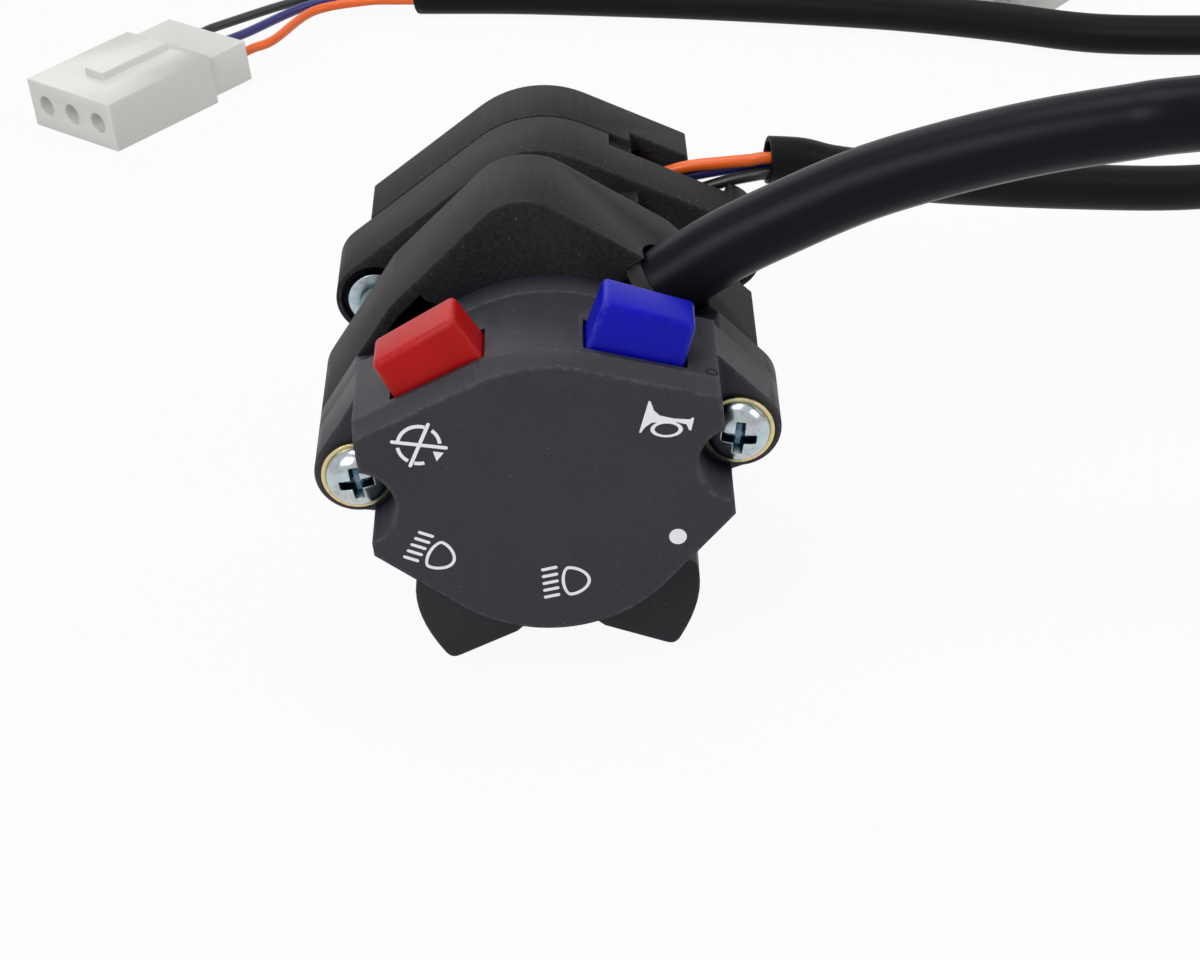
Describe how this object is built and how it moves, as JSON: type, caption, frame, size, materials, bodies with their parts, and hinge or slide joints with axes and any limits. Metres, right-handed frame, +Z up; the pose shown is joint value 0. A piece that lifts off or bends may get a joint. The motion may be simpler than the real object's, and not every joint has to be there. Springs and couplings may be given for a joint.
{
  "type": "handlebar switch cluster",
  "caption": "Black handlebar switch cluster with a red stop button, a blue horn button, a winged light lever, a rear signal slider and plugged leads.",
  "frame": {"origin": "on the axis of the handlebar bore, level with the two clamp screws", "axes": "+X to the right as seen from the printed face, +Y to the rear, from the front unit to the signal unit, +Z up along the handlebar"},
  "size_m": [0.2555, 0.2384, 0.064],
  "materials": {
    "body_plastic": "fine moulded texture",
    "lever_plastic": "satin",
    "red_plastic": "gloss",
    "blue_plastic": "gloss",
    "zinc": "zinc plated",
    "spring_steel": "bright",
    "yellow_zinc": "yellow passivated",
    "contact_brass": "bright",
    "board": "pressed paper laminate",
    "gland_rubber": "matt",
    "sleeve_pvc": "satin",
    "wire_orange_pvc": "satin",
    "wire_blue_pvc": "satin",
    "wire_black_pvc": "satin",
    "nylon": "milky satin"
  },
  "bodies": {
    "base": {"front_cover": "body_plastic", "front_base": "body_plastic", "saddle_block": "body_plastic", "lever_axle": "spring_steel", "detent_leaf": "spring_steel", "contact_board": "board", "board_contacts": "contact_brass", "stop_spring": "spring_steel", "stop_terminals": "contact_brass", "horn_spring": "spring_steel", "horn_terminals": "contact_brass", "cover_screws": "zinc", "clamp_screws": "zinc", "clamp_washers": "yellow_zinc", "signal_housing": "body_plastic", "thread_inserts": "zinc", "signal_cover": "body_plastic", "signal_board": "board", "signal_contacts": "contact_brass", "slider_leaf": "spring_steel", "signal_screws": "zinc", "loom_gland": "gland_rubber", "main_loom": "sleeve_pvc", "loom_plug": "nylon", "wire_orange": "wire_orange_pvc", "wire_blue": "wire_blue_pvc", "wire_black": "wire_black_pvc", "signal_sleeve": "sleeve_pvc", "plug_wires": "wire_orange_pvc", "signal_plug": "nylon", "plug_terminals": "contact_brass"},
    "lever": {"light_lever": "lever_plastic", "rotor_bridge": "contact_brass"},
    "stop": {"stop_button": "red_plastic", "stop_bridge": "contact_brass"},
    "horn": {"horn_button": "blue_plastic", "horn_bridge": "contact_brass"},
    "slider": {"signal_slider": "lever_plastic", "signal_bridge": "contact_brass"}
  },
  "joints": [
    {"name": "light_turn", "type": "hinge", "parent": "base", "child": "lever", "pos_m": [0, -0.0389, 0], "axis": [0, -1, 0], "range_deg": [-22, 22], "deforming": ["detent_leaf"]},
    {"name": "stop_press", "type": "slide", "parent": "base", "child": "stop", "axis": [0.4147, 0, -0.91], "range_m": [0, 0.0025], "stiffness_N_per_m": 800, "springref_m": -0.0015, "deforming": ["stop_spring"]},
    {"name": "horn_press", "type": "slide", "parent": "base", "child": "horn", "axis": [-0.4147, 0, -0.91], "range_m": [0, 0.0025], "stiffness_N_per_m": 800, "springref_m": -0.0015, "deforming": ["horn_spring"]},
    {"name": "signal_slide", "type": "slide", "parent": "base", "child": "slider", "axis": [0, 0, 1], "range_m": [-0.004, 0.004], "deforming": ["slider_leaf"]}
  ]
}
